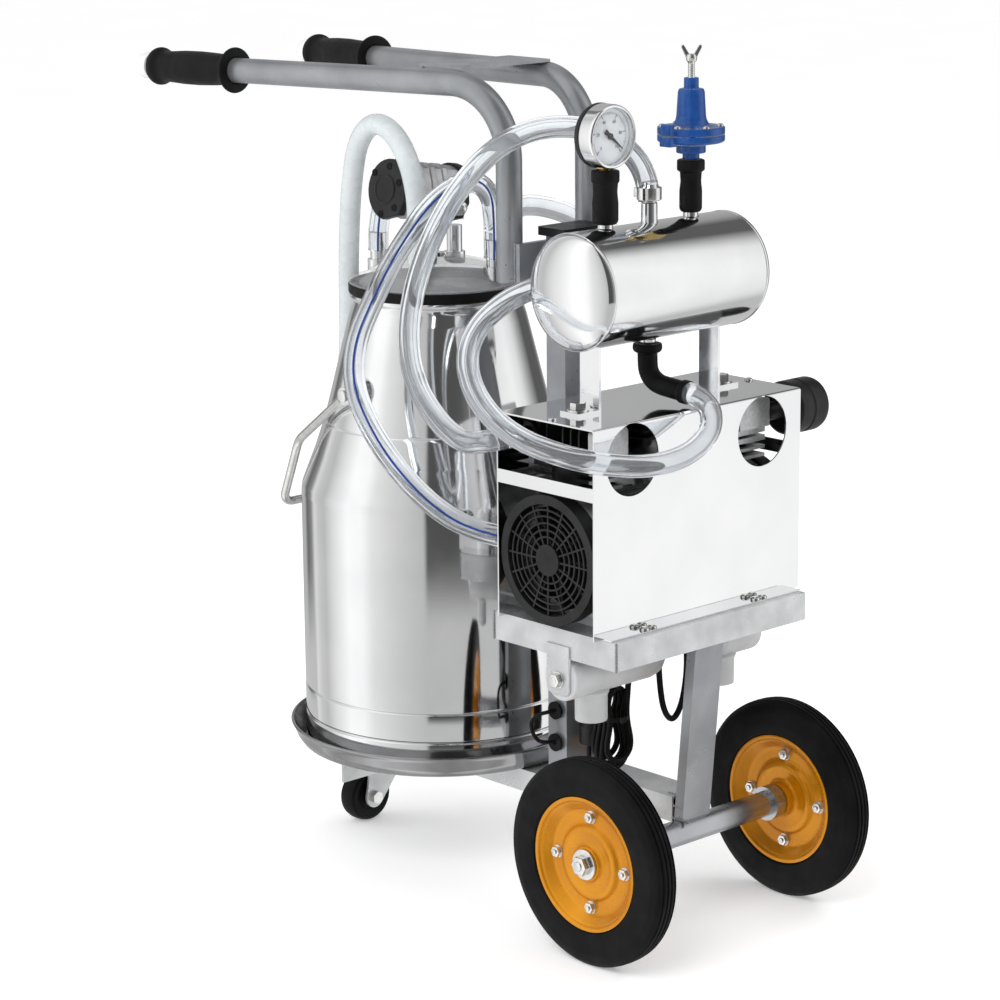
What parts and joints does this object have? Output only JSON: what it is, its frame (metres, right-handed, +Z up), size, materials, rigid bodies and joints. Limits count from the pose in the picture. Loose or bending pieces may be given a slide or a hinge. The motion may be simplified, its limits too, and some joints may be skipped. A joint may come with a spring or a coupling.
{
  "type": "milking machine",
  "caption": "Trolley milking machine: a steel bucket with lid and pulsator, a twin vacuum pump under a bent cover, a vacuum tank with gauge and regulator, clear hoses and push handles.",
  "frame": {"origin": "bottom centre of the machine's box on the floor, measured without hoses and cord", "axes": "+X towards the pump and the two big wheels, -X towards the handles and the bucket's caster, +Y to the operator's left along the axle, +Z up"},
  "size_m": [0.793, 0.4068, 0.8437],
  "materials": {
    "frame_paint": "satin silver-grey paint",
    "galvanised": "zinc plated",
    "polished_steel": "mirror polished stainless steel",
    "dark_rubber": "matte black",
    "tyre_rubber": "matte black",
    "rim_yellow": "gloss orange-yellow paint",
    "blue_paint": "gloss blue paint",
    "brass": "bare brass",
    "black_plastic": "matte",
    "white_plastic": "satin",
    "cast_alloy": "cast, satin",
    "black_casting": "black enamel",
    "clear_glass": "clear",
    "dial_white": "printed",
    "clear_hose": "clear soft vinyl",
    "milky_hose": "milky soft silicone",
    "cord_black": "matte black"
  },
  "bodies": {
    "trolley": {"axle_bolts": "galvanised", "axle_tube": "galvanised", "bucket": "polished_steel", "bucket_gasket": "dark_rubber", "bucket_lid": "clear_glass", "cable_grommets": "dark_rubber", "caster_plate": "frame_paint", "cord_hank": "cord_black", "cover_fasteners": "galvanised", "cross_angle": "frame_paint", "drip_pan": "polished_steel", "exhaust_silencers": "white_plastic", "front_post": "frame_paint", "gauge_case": "black_casting", "gauge_dial": "dial_white", "gauge_glass": "clear_glass", "handle_grips": "dark_rubber", "handle_plates": "frame_paint", "handle_tubes": "frame_paint", "hose_lid_to_cover": "clear_hose", "hose_pulsator": "milky_hose", "hose_pulsator_short": "clear_hose", "hose_tank_drain": "clear_hose", "hose_tank_to_pump": "clear_hose", "lid_fittings": "polished_steel", "post_cap": "black_plastic", "power_cord": "cord_black", "power_plug": "black_plastic", "pulsator_body": "cast_alloy", "pulsator_covers": "black_plastic", "pulsator_wires": "cord_black", "pump_cover": "polished_steel", "pump_filter": "black_plastic", "pump_grilles": "black_plastic", "pump_heads": "black_casting", "pump_motor": "cast_alloy", "rear_post": "frame_paint", "regulator_body": "blue_paint", "regulator_bonnet": "blue_paint", "regulator_inside": "brass", "rubber_couplings": "dark_rubber", "spine_beams": "frame_paint", "tank_brackets": "frame_paint", "tank_elbow": "dark_rubber", "tray_frame": "frame_paint", "tube_end_plugs": "white_plastic", "vacuum_tank": "polished_steel"},
    "wheel_left": {"tyre_left": "tyre_rubber", "rim_left": "rim_yellow", "rim_bolts_left": "galvanised"},
    "wheel_right": {"tyre_right": "tyre_rubber", "rim_right": "rim_yellow", "rim_bolts_right": "galvanised"},
    "caster_swivel": {"caster_fork": "frame_paint", "caster_axle": "galvanised"},
    "caster_roller": {"caster_wheel": "tyre_rubber"},
    "bail": {"bucket_bail": "galvanised"},
    "needle": {"gauge_needle": "black_casting"},
    "regulator_knob": {"regulator_screw": "galvanised"},
    "pump_shaft": {"pump_rotor": "black_plastic"}
  },
  "joints": [
    {"name": "left_wheel_roll", "type": "hinge", "parent": "trolley", "child": "wheel_left", "pos_m": [0.296, 0.1207, 0.1], "axis": [0, 1, 0], "continuous": true},
    {"name": "right_wheel_roll", "type": "hinge", "parent": "trolley", "child": "wheel_right", "pos_m": [0.296, -0.1499, 0.1], "axis": [0, 1, 0], "continuous": true},
    {"name": "caster_turn", "type": "hinge", "parent": "trolley", "child": "caster_swivel", "pos_m": [-0.1678, -0.0146, 0.078], "axis": [0, 0, 1], "continuous": true},
    {"name": "caster_roll", "type": "hinge", "parent": "caster_swivel", "child": "caster_roller", "pos_m": [-0.1678, -0.0336, 0.028], "axis": [1, 0, 0], "continuous": true},
    {"name": "bail_swing", "type": "hinge", "parent": "trolley", "child": "bail", "pos_m": [-0.0624, -0.0146, 0.492], "axis": [0, 1, 0], "range_deg": [0, 95]},
    {"name": "gauge_pointer", "type": "hinge", "parent": "trolley", "child": "needle", "pos_m": [0.236, -0.0756, 0.768], "axis": [1, 0, 0], "range_deg": [-230, 40]},
    {"name": "regulator_turn", "type": "hinge", "parent": "trolley", "child": "regulator_knob", "pos_m": [0.2384, 0.0384, 0.83], "axis": [0, 0, 1], "range_deg": [-720, 720]},
    {"name": "pump_spin", "type": "hinge", "parent": "trolley", "child": "pump_shaft", "pos_m": [0.239, -0.0146, 0.381], "axis": [0, 1, 0], "continuous": true}
  ]
}
